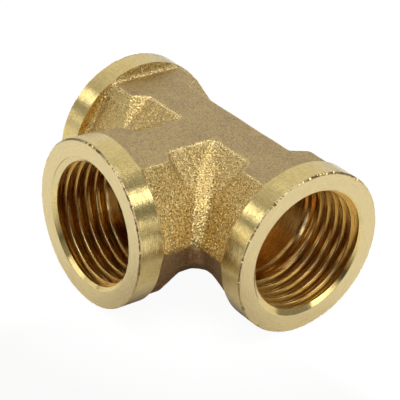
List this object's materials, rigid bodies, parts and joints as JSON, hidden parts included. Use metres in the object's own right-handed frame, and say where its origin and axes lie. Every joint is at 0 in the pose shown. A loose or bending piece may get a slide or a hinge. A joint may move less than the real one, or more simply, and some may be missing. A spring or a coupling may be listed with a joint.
{
  "type": "tee fitting",
  "caption": "Equal pipe tee: hot-stamped brass body with hexagonal necks, turned collars and three female threaded ports at right angles.",
  "frame": {"origin": "the point where the three port axes meet", "axes": "+X out of the front run port, -X out of the back run port, -Y out of the branch port, +Z normal to the plane of the three axes, which is the forging's parting plane"},
  "size_m": [0.047, 0.0367, 0.0264],
  "materials": {
    "brass": "hot-stamped and shot-blasted body with a satin sparkle, turned collars and port faces, cut threads"
  },
  "bodies": {
    "root": {"tee_body": "brass"}
  },
  "joints": []
}
